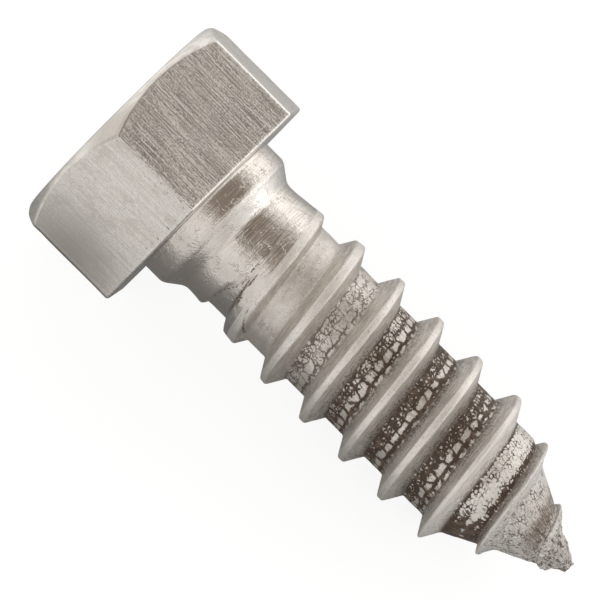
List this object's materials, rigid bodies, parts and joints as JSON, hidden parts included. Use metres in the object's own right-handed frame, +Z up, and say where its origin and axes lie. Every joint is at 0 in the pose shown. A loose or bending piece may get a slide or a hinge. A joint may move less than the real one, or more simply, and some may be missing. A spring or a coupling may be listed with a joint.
{
  "type": "lag bolt",
  "caption": "Stainless hex head lag bolt with a short plain collar, reduced neck, coarse right-hand wood thread and gimlet point, lying on its side.",
  "frame": {"origin": "middle of the bounding box seen from above, on the floor the bolt lies on", "axes": "+Z up; the bolt lies on one flat of its head with the head towards -X and the point towards +X; its axis lies in the XZ plane and dips 6.7 degrees towards the point"},
  "size_m": [0.06, 0.0276, 0.0251],
  "materials": {
    "steel": "satin, drawn and rolled, with brown oxide in the thread roots"
  },
  "bodies": {
    "root": {"lag_bolt": "steel"}
  },
  "joints": []
}
